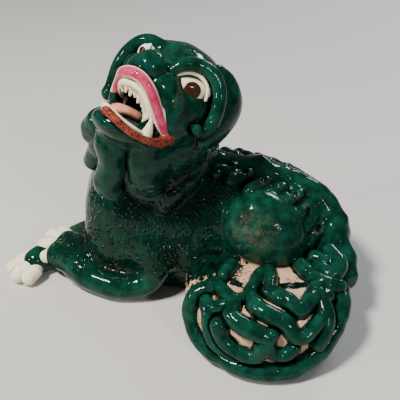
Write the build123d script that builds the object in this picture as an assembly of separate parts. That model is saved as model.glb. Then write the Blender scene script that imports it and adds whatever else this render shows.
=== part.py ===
from build123d import *
import math
import os

# A recumbent foo dog in glazed pottery, hand built from pressed and rolled clay pieces.
# Millimetres. +Z is up from the table, the forepaws point to -X, and the raised head turns
# to the -Y side, where the tail is curled too. "near" is the -Y side, "far" the +Y side.
# The shapes are placed from a point on the table under the shoulders. FOOTPRINT_MIDDLE is
# the middle of the finished figure in that frame, and the part's origin.

FOOTPRINT_MIDDLE = (-7.0, -20.0)
WALL = 4.0                     # thickness of the pressed shells
BULB = 1.04                    # a roll's rounded end is this much fatter than the roll
CRUMB = 3.0                    # cut-off scraps under this many cubic millimetres are dropped
GROUND = 400                   # side of the block that cuts everything off at the table

BODY_MIDDLE = (8, 0, 20)       # the barrel of the torso
BODY_RADII = (62, 27, 40)
CHEST_MIDDLE = (-23, -1, 30)
CHEST_RADII = (32, 26, 38)
NECK_MIDDLE = (-14, -5, 64)
NECK_RADIUS = 24.5

HEAD_MIDDLE = (-9.5, -11.3, 92)
HEAD_YAW = 62                  # degrees, from -X towards -Y
HEAD_PITCH = 36                # degrees that the face is thrown up
HEAD_ROLL = 7
SKULL_RADIUS = 22.5
LIP = 2.3                      # radius of the lip rolls
TOOTH = 1.7                    # radius of the tooth bands
EYE = 6.5
EAR_ROLL = (2.9, 2.7)          # radius of the ear's rolled rim at the brow and at its curl
SEAM = 0.05                    # the glaze-filled seam under each spine lobe

TAIL_MIDDLE = (34.2, -40.5)    # the mound of the curled tail, an oval with a rounded edge
TAIL_HALF = (33.3, 29)
TAIL_HEIGHT = 27.5
TAIL_EDGE = 12
TAIL_FOOT_EDGE = 4

parts = {}


def ball(centre, radius):
    return Pos(*centre) * Sphere(radius)


def blob(centre, radii, turn=(0, 0, 0)):
    """An egg of clay: a sphere, its poles to front and back, stretched to three radii."""
    return Pos(*centre) * Rotation(*turn) * scale(Rotation(0, 90, 0) * Sphere(1), by=radii)


def taper(start, end, r_start, r_end):
    """A round-ended taper: the hull of one ball at each end, turned from its half outline."""
    start, end = Vector(*start), Vector(*end)
    length = (end - start).length
    seam = math.pi / 2 - math.asin((r_start - r_end) / length)

    def on(centre, radius, angle):
        return (centre + radius * math.cos(angle), radius * math.sin(angle))

    back = [on(0, r_start, angle) for angle in (math.pi, (math.pi + seam) / 2, seam)]
    front = [on(length, r_end, angle) for angle in (seam, seam / 2, 0)]
    outline = Curve() + [
        ThreePointArc(*back),
        Line(back[-1], front[0]),
        ThreePointArc(*front),
        Line(front[-1], back[0]),
    ]
    solid = revolve(make_face(outline), axis=Axis.X, revolution_arc=360)
    along = (end - start).normalized()
    side = Vector(0, 0, 1) if abs(along.Z) < 0.9 else Vector(1, 0, 0)
    return Plane(origin=start, x_dir=along, z_dir=along.cross(side)).location * solid


def limb(stations):
    """Tapers end to end. Each starts a little fatter than the last ended, so they bite."""
    solid = None
    for (start, r_start), (end, r_end) in zip(stations, stations[1:]):
        piece = taper(start, end, r_start * (BULB if solid else 1), r_end)
        solid = piece if solid is None else solid + piece
    return solid


def roll(points, radius):
    """A rolled string of clay: straight runs joined by tangent arcs, with round ends."""
    points = [Vector(*point) for point in points]
    bends = []
    for before, corner, after in zip(points, points[1:], points[2:]):
        turn = math.radians((corner - before).get_angle(after - corner))
        shorter = min((corner - before).length, (after - corner).length)
        bends.append(0.45 * shorter / math.tan(turn / 2))
    path = FilletPolyline(*points, radius=bends) if bends else Line(*points)
    tube = sweep(Plane(origin=path @ 0, z_dir=path % 0) * Circle(radius), path=path)
    for end in (points[0], points[-1]):
        tube += Pos(end) * Sphere(radius * BULB)
    return tube


def seat(piece, *neighbours):
    """The piece as it dries: pressed flat on the table, and against its neighbours."""
    piece -= Pos(0, 0, -GROUND / 2) * Box(GROUND, GROUND, GROUND)
    for neighbour in neighbours:
        piece -= neighbour
    kept = [solid for solid in piece.solids() if solid.volume > CRUMB]
    return kept[0] if len(kept) == 1 else Compound(children=kept)


# ---- Torso -------------------------------------------------------------------------

def shrunk(radii, by):
    return tuple(radius - by for radius in radii)


body_form = blob(BODY_MIDDLE, BODY_RADII) + blob(CHEST_MIDDLE, CHEST_RADII)
body_hollow = (blob(BODY_MIDDLE, shrunk(BODY_RADII, WALL))
               + blob(CHEST_MIDDLE, shrunk(CHEST_RADII, WALL)))
parts["body_shell"] = seat(body_form, body_hollow)

neck_form = ball(NECK_MIDDLE, NECK_RADIUS)
parts["mane_neck"] = seat(neck_form, body_form)


# ---- Head: x is forward along the muzzle, y to the animal's left, z out of the crown ---

def head_plane():
    yaw, pitch, tilt = (math.radians(angle) for angle in (HEAD_YAW, HEAD_PITCH, HEAD_ROLL))
    heading = Vector(-math.cos(yaw), -math.sin(yaw), 0)
    left = Vector(0, 0, 1).cross(heading)
    forward = heading * math.cos(pitch) + Vector(0, 0, math.sin(pitch))
    crown = forward.cross(left)
    return Plane(origin=HEAD_MIDDLE, x_dir=forward,
                 z_dir=crown * math.cos(tilt) + left * math.sin(tilt))


HEAD = head_plane()
SIDES = {"near": 1, "far": -1}


def at(forward, left, up):
    """A point of the head, in the figure's frame."""
    return tuple(HEAD.from_local_coords(Vector(forward, left, up)))


def slab(back, front, half_width, thin):
    """A flat lump with round edges: side rolls and a middle one, bitten together."""
    lump = taper(at(*back), at(*front), thin, thin)
    for side in (-1, 1):
        edge = side * half_width
        lump += taper(at(back[0], edge, back[2]), at(front[0], 0.8 * edge, front[2]),
                      thin * 0.97, thin * 0.95)
    return lump


def mirrored(points, side):
    return [at(forward, side * left, up) for forward, left, up in points]


def arch(half, peak):
    """A roll that goes from the far mouth corner over the peak to the near corner."""
    far = mirrored(half, -1)
    return far + [at(*peak)] + mirrored(half, 1)[::-1]


head_form = (ball(at(-2, 0, 0), SKULL_RADIUS)
             + slab((3, 0, 0.5), (22, 0, 0.5), 6.5, 8.4))
head_hollow = ball(at(-2, 0, 0), SKULL_RADIUS - WALL - 1)
mouth = slab((15, 0, -8), (40, 0, -9), 6, 7)
jaw_form = slab((6, 0, -18.5), (28, 0, -18.5), 8, 6.2)
parts["head_shell"] = seat(head_form - head_hollow, mouth, neck_form, body_form)
parts["lower_jaw"] = seat(jaw_form, head_form, mouth, neck_form)

upper_lip = roll(arch([(12, 17, -14), (20, 14, -6), (27, 9, 0)], (31, 0, 2)), LIP)
parts["upper_lip"] = seat(upper_lip, head_form, jaw_form, neck_form)
LOWER_LIP = [(14, -16, -18), (23, -13, -18), (31, -7, -17), (35.5, 0.5, -16),
             (33, 8.5, -17.5), (25, 14.5, -18.8), (14.5, 17, -18)]
lower_lip = roll([at(*point) for point in LOWER_LIP], LIP)
parts["lower_lip"] = seat(lower_lip, jaw_form, head_form, upper_lip, neck_form)

upper_teeth = roll(arch([(16, 13, -10), (23, 10, -5), (27, 5, -2.5)], (29, 0, -1.5)), TOOTH)
parts["upper_teeth"] = seat(upper_teeth, head_form - mouth, upper_lip, jaw_form)
lower_teeth = roll(arch([(18, 11.5, -14), (25, 10, -14), (31, 6, -13.5)], (34, 0, -12.5)),
                   TOOTH)
parts["lower_teeth"] = seat(lower_teeth, head_form - mouth, jaw_form, lower_lip, upper_lip)


def fangs(root, tip, radius, *neighbours):
    pair = [taper(*mirrored([root, tip], side), radius, radius / 4) for side in SIDES.values()]
    cut = [solid for fang in pair for solid in seat(fang, *neighbours).solids()]
    return Compound(children=cut)


parts["upper_fangs"] = fangs((24, 8.5, -4), (24, 8, -11), 1.8,
                             upper_teeth, upper_lip, head_form - mouth)
parts["lower_fangs"] = fangs((22, 11.5, -13), (23, 11.5, -5.5), 1.7,
                             upper_teeth, lower_teeth, upper_lip, lower_lip, jaw_form,
                             head_form - mouth, parts["upper_fangs"])
tongue = slab((13, 0, -12), (27, 0, -11), 3.5, 2.6)
parts["tongue"] = seat(tongue, head_form - mouth, jaw_form, lower_teeth)

nose = ball(at(24, 0, 8), 6.2)
parts["nose"] = seat(nose, head_form, upper_lip)
for side, sign in SIDES.items():
    wing = ball(at(22, 8 * sign, 6), 4.6)
    parts[f"nostril_wing_{side}"] = seat(wing, head_form, nose, upper_lip)

# The face is not quite even: the far eye sits higher and the far ear hangs further forward.
EYES = {"near": [(8.5, 13, 6.5), (12.2, 16.6, 7.6)],
        "far": [(10.6, -10.4, 9.6), (14.4, -13.5, 12.5)]}
LIDS = {
    "near": [(17.4, 10.6, 7.9), (15, 12.6, 10.7), (11.6, 15.6, 11.5), (8.6, 18.4, 9.6),
             (7.9, 19.9, 6.5)],
    "far": [(17.2, -6.8, 11.8), (15.6, -8, 14.4), (13, -10.6, 16), (11, -13.8, 15.4)],
}
eyes, lids = {}, {}
for side, (middle, gaze) in EYES.items():
    eye = ball(at(*middle), EYE)
    iris = ball(at(*gaze), 2.8)
    lid = roll([at(*point) for point in LIDS[side]], 1.3)
    eyes[side], lids[side] = eye, lid
    parts[f"eye_{side}"] = seat(eye, head_form)
    parts[f"iris_{side}"] = seat(iris, eye, head_form)
    parts[f"eyelid_{side}"] = seat(lid, eye, head_form)

EAR_RIMS = {
    "near": [(18.5, 9.5, 10.5), (16, 11.6, 13.8), (11, 15.4, 15.4), (7, 19.8, 13.6),
             (4.6, 23.6, 8), (3.6, 25, 0.5), (3.8, 24.6, -6)],
    "far": [(17, -8, 14.5), (15.6, -13, 15.4), (15.4, -17.2, 11), (14.8, -20, 5),
            (13.3, -21.6, -1.5), (11.4, -22.2, -8)],
}
EAR_FLAPS = {
    "near": [((-3, 18, 13), 7), ((-9, 21, 3), 8), ((-6, 22, -8), 5)],
    "far": [((11, -17, 6), 5), ((9, -19.5, 0), 6), ((6, -20.5, -7), 5)],
}
for side, route in EAR_RIMS.items():
    thinning = (EAR_ROLL[1] - EAR_ROLL[0]) / (len(route) - 1)
    rim = limb([(at(*point), EAR_ROLL[0] + thinning * index)
                for index, point in enumerate(route)])
    flap = limb([(at(*point), radius) for point, radius in EAR_FLAPS[side]])
    parts[f"ear_rim_{side}"] = seat(rim, head_form, neck_form, lids[side], eyes[side])
    parts[f"ear_{side}"] = seat(flap, head_form, neck_form, rim, lids[side], eyes[side])

# ---- Beard: rolled locks that hang from the jaw over the chest ------------------------

BEARD = {
    "chin": [((-28, -34, 87), 7.5), ((-30.5, -34.5, 70), 9.0), ((-31, -31.5, 55), 5.0)],
    "throat": [((-16, -30, 83), 8.0), ((-19.5, -30.5, 70), 9.0), ((-20, -30.5, 59), 5.0)],
    "far_upper": [((-37, -23, 86), 6.0), ((-42, -22, 81), 5.0), ((-45, -20, 76), 3.2)],
    "far_lower": [((-36, -22, 79), 7.0), ((-42, -20, 70), 5.5), ((-45, -19, 61), 3.2)],
}
head_mass = [head_form, neck_form, body_form, jaw_form, lower_lip, upper_lip, lower_teeth]
earlier = []
for name, stations in BEARD.items():
    lock = limb(stations)
    parts[f"beard_lock_{name}"] = seat(lock, *head_mass, *earlier)
    earlier.append(lock)

# ---- Forelegs, crossed at the paws, the near one on top ------------------------------

far_foreleg = limb([((-28, 18, 30), 12), ((-34, 20, 9), 8.5), ((-58, 1, 8.5), 7),
                    ((-71, -15, 7.2), 7), ((-77, -22, 6.2), 6)])
near_foreleg = limb([((-22, -20, 28), 12), ((-18, -27, 10), 8.5), ((-27, -32, 7.2), 6.2),
                     ((-45, -31, 7.5), 6.2), ((-57, -25, 10.5), 7.6), ((-65, -15.5, 13), 7.8)])
parts["foreleg_far"] = seat(far_foreleg, body_form)
parts["foreleg_near"] = seat(near_foreleg, body_form, far_foreleg)


def toes(centres, inward, radius, *neighbours):
    """Toes side by side: short rolls out of the paw, each pressed a little into the next."""
    laid, cut = list(neighbours), []
    for centre in centres:
        toe = taper(Vector(*centre) + Vector(*inward), centre, radius, radius)
        cut += seat(toe, *laid).solids()
        laid.append(toe)
    return Compound(children=cut)


parts["toes_far"] = toes([(-84, -21, 4.8), (-86.4, -26.6, 4.6), (-82.6, -31, 4.4),
                          (-77.4, -32.4, 4.2)], (5, 3, 0), 3.6, far_foreleg)
parts["toes_near"] = toes([(-73.6, -22.4, 9.8), (-75.2, -17, 11.8), (-74, -11.4, 13.6),
                           (-69.4, -8, 14.4)], (4, 2, 0), 3.4, near_foreleg, far_foreleg)

# ---- Haunches and the far hind paw ---------------------------------------------------

haunch_near = blob((31, -18, 38), (17, 14, 17.5), (0, 0, -4))
haunch_far = blob((31, 19, 25), (19, 14, 20), (0, 0, 4))
far_paw = limb([((24, 26, 7), 7.5), ((2, 29, 6), 6)])
parts["haunch_near"] = seat(haunch_near, body_form)
parts["haunch_far"] = seat(haunch_far, body_form)
parts["hind_paw_far"] = seat(far_paw, body_form, haunch_far)
parts["hind_toes_far"] = toes([(-3.5, 24.5, 4), (-5.5, 28.5, 4.2), (-4.5, 33, 4)],
                              (4, 0, 0), 3.2, far_paw, body_form)

# ---- Tail: a mound curled round the near haunch --------------------------------------

oval = extrude(Pos(*TAIL_MIDDLE) * Ellipse(*TAIL_HALF), TAIL_HEIGHT)
tail_form = fillet(oval.edges().group_by(Axis.Z)[-1], TAIL_EDGE)
tail_form = fillet(tail_form.edges().group_by(Axis.Z)[0], TAIL_FOOT_EDGE)
parts["tail_mound"] = seat(tail_form, body_form, haunch_near)


def draped(points, lift):
    """Plan points laid on the mound: flat on its top, round its edge, then down the wall."""
    laid = []
    for x, y, z in points:
        dx, dy = x - TAIL_MIDDLE[0], y - TAIL_MIDDLE[1]
        ratio = math.hypot(dx / TAIL_HALF[0], dy / TAIL_HALF[1])
        reach = math.hypot(dx, dy)
        rim = reach / ratio
        inset = max(rim - TAIL_EDGE - reach, -TAIL_EDGE)
        over, above = max(-inset, 0), max(z - (TAIL_HEIGHT - TAIL_EDGE), 0)
        if over == 0:
            laid.append((x, y, TAIL_HEIGHT + lift))
            continue
        far_out = math.hypot(over, above) or 1
        out = TAIL_EDGE + lift
        radial = rim - TAIL_EDGE + out * over / far_out
        height = TAIL_HEIGHT - TAIL_EDGE + out * above / far_out if above else z
        laid.append((TAIL_MIDDLE[0] + dx / reach * radial,
                     TAIL_MIDDLE[1] + dy / reach * radial, height))
    return laid


TAIL_ROLLS = {
    "rim_roll": (3.6, [(67.5, -30, 25), (65, -39.5, 24), (63, -51, 20),
                       (58, -60, 12), (49, -65.5, 6), (38.5, -68.5, 4), (28, -68.5, 5)]),
    "front_roll": (3.3, [(14, -50.5, 28), (8, -56, 21), (12, -63, 10), (21, -67, 7)]),
    "string_front": (2.1, [(12.5, -58, 28), (13, -64, 22), (15, -66, 15), (22, -69, 12)]),
    "string_double_bend": (2.3, [(15, -46, 28), (19, -53, 28), (24, -59, 28), (23, -65, 25),
                                 (28, -69, 21), (36, -70, 19)]),
    "string_centre": (2.3, [(33, -37, 28), (33, -45, 28), (31, -53, 28), (33, -61, 28),
                            (40, -63.5, 28), (47, -65, 26), (51, -68, 20), (57, -63, 22),
                            (60, -57, 27)]),
    "string_upper": (2.3, [(36, -51, 28), (43, -52, 28), (50, -57.5, 28), (54, -50, 28),
                           (58, -43, 28), (63, -38, 27)]),
    "string_curl": (2.6, [(17, -68, 20), (24, -69, 15), (33, -70, 11), (38, -70, 16),
                          (44, -70, 12.5), (51, -68, 15)]),
    "string_right": (2.1, [(58, -48, 28), (62, -54, 26), (63, -60, 19), (61, -62, 13)]),
}
neighbours = [tail_form, haunch_near, body_form]
for name, (radius, points) in TAIL_ROLLS.items():
    string = roll(draped(points, 0.35 * radius), radius)
    parts[f"tail_{name}"] = seat(string, *neighbours)
    neighbours.append(string)
pellets = [((19, -36, 28), (19, -40, 28)), ((50, -33, 28), (53, -35, 28))]
parts["tail_pellets"] = Compound(children=[
    solid
    for pair in pellets
    for solid in seat(taper(*draped(pair, 1), 2.8, 2.2), *neighbours).solids()])

# ---- Spine: a thick roll down the back, with a comb of lobes on each side ---------------

def on_back(x, angle, lift=0):
    """A point of the torso: x along it, and degrees round it from the top to the near side."""
    girth = math.sqrt(1 - ((x - BODY_MIDDLE[0]) / BODY_RADII[0]) ** 2)
    turn = math.radians(angle)
    return (x, -(BODY_RADII[1] + lift) * girth * math.sin(turn),
            BODY_MIDDLE[2] + (BODY_RADII[2] + lift) * girth * math.cos(turn))


SPINE = [(on_back(2, 0, -1), 4.5), (on_back(18, 1, -1), 5.2), (on_back(33, 2, -1), 5.7),
         (on_back(46, 3, -1), 6.2), (on_back(55, 9, -1), 6.6), (on_back(61, 25, -1), 7),
         ((65.5, -12, 31), 6.7), ((68.5, -20, 24), 6)]
spine = limb(SPINE)
parts["spine_ridge"] = seat(spine, body_form, neck_form, *neighbours)

# Each lobe runs from the ridge's edge, down and forward: x and angle of its root and tip.
LOBES = [((14, 12), (9, 19)), ((19, 12), (13.5, 23)), ((25, 14), (19, 29)),
         ((31, 16), (25, 36)), ((36, 17), (30, 40)), ((42, 18), (36, 41)),
         ((47, 22), (41, 45)), ((51, 29), (45, 54)), ((55, 40), (49, 65)),
         ((58, 54), (53, 74))]
FAR_LOBES = [((root_x, -9 - index), (tip_x, -22 - 2 * index))
             for index, ((root_x, _), (tip_x, _)) in enumerate(LOBES)]
seam_form = (blob(BODY_MIDDLE, shrunk(BODY_RADII, -SEAM))
             + blob(CHEST_MIDDLE, shrunk(CHEST_RADII, -SEAM)))
for side, pairs in (("near", LOBES), ("far", FAR_LOBES)):
    solids = []
    laid = [haunch_near, *neighbours] if side == "near" else []
    for root, tip in pairs:
        lobe = taper(on_back(*root, 1), on_back(*tip, 1), 2.4, 3.0)
        solids += seat(lobe, seam_form, neck_form, spine, *laid).solids()
        laid.append(lobe)
    parts[f"spine_lobes_{side}"] = Compound(children=solids)

# ---- Write every piece ----------------------------------------------------------------

os.makedirs("parts", exist_ok=True)
to_origin = Pos(-FOOTPRINT_MIDDLE[0], -FOOTPRINT_MIDDLE[1], 0)
for name, piece in parts.items():
    export_step(to_origin * piece, f"parts/{name}.step")
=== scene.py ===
from concurrent.futures import ThreadPoolExecutor
import math

import bpy
import numpy as np
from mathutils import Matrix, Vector


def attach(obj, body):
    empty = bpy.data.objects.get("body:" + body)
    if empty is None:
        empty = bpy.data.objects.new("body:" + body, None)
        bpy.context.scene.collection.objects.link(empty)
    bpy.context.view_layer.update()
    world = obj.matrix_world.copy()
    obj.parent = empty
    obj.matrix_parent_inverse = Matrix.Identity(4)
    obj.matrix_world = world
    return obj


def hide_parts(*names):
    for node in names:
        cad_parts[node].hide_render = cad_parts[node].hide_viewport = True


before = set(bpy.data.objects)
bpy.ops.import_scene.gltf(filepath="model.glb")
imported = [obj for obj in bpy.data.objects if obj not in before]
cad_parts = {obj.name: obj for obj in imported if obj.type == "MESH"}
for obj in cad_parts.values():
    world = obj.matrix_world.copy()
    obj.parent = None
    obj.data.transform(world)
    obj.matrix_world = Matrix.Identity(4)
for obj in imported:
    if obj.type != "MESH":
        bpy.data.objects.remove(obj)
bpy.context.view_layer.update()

# The figure is sculpted in millimetres in the frame that its CAD pieces were drawn in:
# +Z up from the table, forepaws to -X, face and tail on the -Y side. FOOTPRINT_MIDDLE is
# where the row's origin lies in that frame.

MM = 0.001
FOOTPRINT_MIDDLE = np.array([-7.0, -20.0, 0.0])
BLOCK = 8                      # grid points along the side of one block of the modelling grid
CHUNK = 48                     # blocks worked out together
WORKERS = 4
FINE = 0.42                    # mm between grid points, for the face and the strings
BROAD = 0.6                    # mm, for the large plain forms
PROBE = 1.6                    # mm, how far off a point's creases and crests are felt
SCRAP = 40                     # vertices: a loose crumb of clay with fewer is dropped


def row(point):
    """A point of the modelling frame, in the row frame and in metres."""
    return tuple((np.asarray(point, float) - FOOTPRINT_MIDDLE) * MM)


# ---- Camera: a little above the animal, from the side that its face is turned to ----

VIEW_TARGET = (0, 0, 36)
VIEW_AZIMUTH, VIEW_ELEVATION, VIEW_DISTANCE, LENS = 10, 33, 285, 54


def add_camera():
    azimuth, elevation = math.radians(VIEW_AZIMUTH), math.radians(VIEW_ELEVATION)
    back = np.array([math.sin(azimuth) * math.cos(elevation),
                     -math.cos(azimuth) * math.cos(elevation), math.sin(elevation)])
    camera = bpy.data.objects.new("camera", bpy.data.cameras.new("camera"))
    bpy.context.scene.collection.objects.link(camera)
    camera.location = row(np.array(VIEW_TARGET) + VIEW_DISTANCE * back)
    aim = Vector(row(VIEW_TARGET)) - camera.location
    camera.rotation_euler = aim.to_track_quat("-Z", "Y").to_euler()
    camera.data.lens = LENS
    camera.data.clip_start = 0.01
    bpy.context.scene.camera = camera


add_camera()

# ---- Clay, modelled by distance ------------------------------------------


class Clay:
    """A lump. dist(points) is how far points lie outside it; low and high bound it."""

    def __init__(self, dist, low, high):
        self.dist = dist
        self.low, self.high = np.asarray(low, float), np.asarray(high, float)

    def gap(self, low, high):
        """The least distance from this lump's box to another box."""
        apart = np.maximum(np.maximum(self.low - high, low - self.high), 0)
        return float(np.sqrt((apart ** 2).sum()))


def norm(vectors):
    """The length of each vector."""
    return np.sqrt(np.einsum("ij,ij->i", vectors, vectors))


def single(values):
    """The values as 32-bit numbers, which is fine enough for clay and quicker."""
    return np.asarray(values, np.float32)


def egg(centre, radii, axes=None):
    """An ellipsoid. The rows of axes are its own directions."""
    centre, radii = single(centre), single(radii)
    axes = single(np.eye(3) if axes is None else axes)
    reach = np.sqrt(((axes.T * radii) ** 2).sum(axis=1))

    def dist(points):
        local = ((points - centre) @ axes.T) / radii
        far = norm(local)
        return far * (far - 1) / np.maximum(norm(local / radii), 1e-6)

    return Clay(dist, centre - reach, centre + reach)


def ball(centre, radius):
    centre = single(centre)
    return Clay(lambda points: norm(points - centre) - radius,
                centre - radius, centre + radius)


def smooth_route(points, spacing=1.1):
    """Points every spacing mm or so along a Catmull-Rom curve through the given rows."""
    rows = np.asarray(points, float)
    rows = np.vstack([2 * rows[0] - rows[1], rows, 2 * rows[-1] - rows[-2]])
    route = []
    for a, b, c, d in zip(rows, rows[1:], rows[2:], rows[3:]):
        count = max(2, int(np.linalg.norm((c - b)[:3]) / spacing))
        t = np.linspace(0, 1, count, endpoint=False)[:, None]
        route.append(0.5 * (2 * b + (c - a) * t + (2 * a - 5 * b + 4 * c - d) * t ** 2
                            + (3 * b - a - 3 * c + d) * t ** 3))
    route.append(rows[-2:-1])
    return np.vstack(route)


def roll(points, flat=None):
    """A rolled string. Each row is x, y, z and radius. flat=(direction, share) presses it
    to that share of its thickness along a direction."""
    route = single(smooth_route(points))
    starts, ends = route[:-1], route[1:]
    spans = ends[:, :3] - starts[:, :3]
    lengths = np.maximum((spans ** 2).sum(axis=1), 1e-8)
    middles = (starts[:, :3] + ends[:, :3]) / 2
    halves = np.sqrt(lengths) / 2 + np.maximum(starts[:, 3], ends[:, 3])
    if flat is not None:
        press = single(flat[0]) / np.linalg.norm(flat[0])
        stretch = 1 / flat[1] - 1

    def dist(points):
        low, high = points.min(axis=0), points.max(axis=0)
        nearest = norm(np.maximum(np.maximum(low - middles, middles - high), 0)) - halves
        farthest = norm(np.maximum(np.abs(low - middles), np.abs(high - middles)))
        best = None
        for index in np.flatnonzero(nearest <= farthest.min() + 1):
            offset = points - starts[index, :3]
            along = np.clip(offset @ spans[index] / lengths[index], 0, 1)
            offset = offset - along[:, None] * spans[index]
            if flat is not None:
                offset = offset + (offset @ press)[:, None] * (press * stretch)
            radius = starts[index, 3] + along * (ends[index, 3] - starts[index, 3])
            here = norm(offset) - radius
            best = here if best is None else np.minimum(best, here)
        return best

    thick = route[:, 3:4]
    return Clay(dist, (route[:, :3] - thick).min(axis=0), (route[:, :3] + thick).max(axis=0))


def soft_min(a, b, blend):
    """The lesser of two distances, rounded off where they are within blend of each other."""
    if blend <= 0:
        return np.minimum(a, b)
    share = np.clip(0.5 + 0.5 * (b - a) / blend, 0, 1)
    return b + (a - b) * share - blend * share * (1 - share)


def join(lumps, blend=0.0):
    """Lumps pressed together, with a smoothed joint blend mm wide."""
    def dist(points):
        low, high = points.min(axis=0), points.max(axis=0)
        gaps = [lump.gap(low, high) for lump in lumps]
        closest = int(np.argmin(gaps))
        known = lumps[closest].dist(points)
        limit = float(known.max()) + blend
        total = None
        for index, lump in enumerate(lumps):
            if index != closest and gaps[index] > limit:
                continue
            here = known if index == closest else lump.dist(points)
            total = here if total is None else soft_min(total, here, blend)
        return total

    return Clay(dist, np.min([lump.low for lump in lumps], axis=0) - blend / 4,
                np.max([lump.high for lump in lumps], axis=0) + blend / 4)


def carve(lump, *tools, blend=0.0):
    """The lump with each tool's shape taken out."""
    def dist(points):
        kept = lump.dist(points)
        low, high = points.min(axis=0), points.max(axis=0)
        for tool in tools:
            if tool.gap(low, high) < blend + 1 - float(kept.min()):
                kept = -soft_min(-kept, tool.dist(points), blend)
        return kept

    return Clay(dist, lump.low, lump.high)


def within(lump, other, blend=0.0):
    """What the lump and the other share."""
    return Clay(lambda points: -soft_min(-lump.dist(points), -other.dist(points), blend),
                lump.low, lump.high)


def above(lump):
    """The lump cut off flat at the table."""
    low = lump.low.copy()
    low[2] = 0.0
    return Clay(lambda points: np.maximum(lump.dist(points), -points[:, 2]), low, lump.high)


def grown(lump, by):
    """The lump, by mm larger all round."""
    return Clay(lambda points: lump.dist(points) - by, lump.low - by, lump.high + by)


def luted(lump, base, blend=2.0, reach=3.0, sink=0.2):
    """The lump with a fillet of slip that runs out onto the base it sits on. The fillet
    dives sink mm under the base's face, so that the two faces never coincide."""
    def dist(points):
        own = lump.dist(points)
        both = soft_min(own, base.dist(points) + sink, blend)
        return np.maximum(both, own - reach)

    return Clay(dist, lump.low - reach, lump.high + reach)


def chance(points, seed):
    """A repeatable number from -1 to 1 for each whole-number point."""
    whole = points.astype(np.int64)
    mixed = (whole[:, 0] * 73856093) ^ (whole[:, 1] * 19349663) ^ (whole[:, 2] * 83492791)
    mixed = (mixed ^ (seed * 2654435761)) & 0xFFFFFFFF
    mixed = ((mixed ^ (mixed >> 15)) * 2246822519) & 0xFFFFFFFF
    mixed = ((mixed ^ (mixed >> 13)) * 3266489917) & 0xFFFFFFFF
    return ((mixed ^ (mixed >> 16)) / 2147483648.0 - 1).astype(np.float32)


def swell(points, size, seed):
    """Soft random lumps, size mm apart, from -1 to 1."""
    scaled = points / size
    cell = np.floor(scaled)
    part = scaled - cell
    part = part * part * (3 - 2 * part)
    total = 0
    for corner in np.ndindex(2, 2, 2):
        weight = np.prod(np.where(corner, part, 1 - part), axis=1)
        total = total + weight * chance(cell + corner, seed)
    return total


def kneaded(lump, *sizes_and_depths, seed=1):
    """The lump with the uneven surface that hands leave: (size, depth) pairs in mm."""
    def dist(points):
        own = lump.dist(points)
        near = np.abs(own) < 4
        if near.any():
            change = np.zeros(near.sum(), np.float32)
            for number, (size, depth) in enumerate(sizes_and_depths):
                change += depth * swell(points[near], size, seed + number)
            own[near] = own[near] + change
        return own

    deep = sum(depth for _, depth in sizes_and_depths)
    return Clay(dist, lump.low - deep, lump.high + deep)


# ---- From distance to mesh: surface nets ---------------------------------

pool = ThreadPoolExecutor(WORKERS)


def measure(dist, points):
    """dist() of many points, worked out in pieces side by side."""
    pieces = np.array_split(points, max(1, len(points) // 20000))
    return np.concatenate(list(pool.map(lambda piece: dist(piece), pieces)))


def sample(lump, voxel):
    """The lump's distances on a grid, worked out finely only in blocks near its surface."""
    side, margin = voxel * BLOCK, 1.7 * voxel
    low = single(lump.low - margin)
    counts = np.ceil((lump.high + margin - low) / side).astype(int)
    blocks = np.stack(np.meshgrid(*[np.arange(n) for n in counts], indexing="ij"), -1)
    blocks = blocks.reshape(-1, 3)
    rough = measure(lump.dist, single(low + (blocks + 0.5) * side - voxel / 2))
    near = np.abs(rough) < 1.25 * side
    grid = np.empty(counts * BLOCK, np.float32)
    cells = grid.reshape(counts[0], BLOCK, counts[1], BLOCK, counts[2], BLOCK)
    cells = cells.transpose(0, 2, 4, 1, 3, 5)
    cells[...] = rough.reshape(*counts, 1, 1, 1)
    chosen = blocks[near]
    chosen = chosen[np.lexsort((chosen // 3).T)]      # neighbours are worked out together
    offsets = np.stack(np.meshgrid(*[np.arange(BLOCK)] * 3, indexing="ij"), -1)
    offsets = single(offsets.reshape(-1, 3) * voxel)

    def work(chunk):
        points = (single(low + chunk * side)[:, None, :] + offsets[None]).reshape(-1, 3)
        values = lump.dist(points).reshape(-1, BLOCK, BLOCK, BLOCK)
        cells[chunk[:, 0], chunk[:, 1], chunk[:, 2]] = values

    list(pool.map(work, np.array_split(chosen, max(1, len(chosen) // CHUNK))))
    return grid, low


CORNERS = np.array(list(np.ndindex(2, 2, 2)))
EDGES = [(a, b) for a in range(8) for b in range(a + 1, 8)
         if np.abs(CORNERS[a] - CORNERS[b]).sum() == 1]


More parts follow.
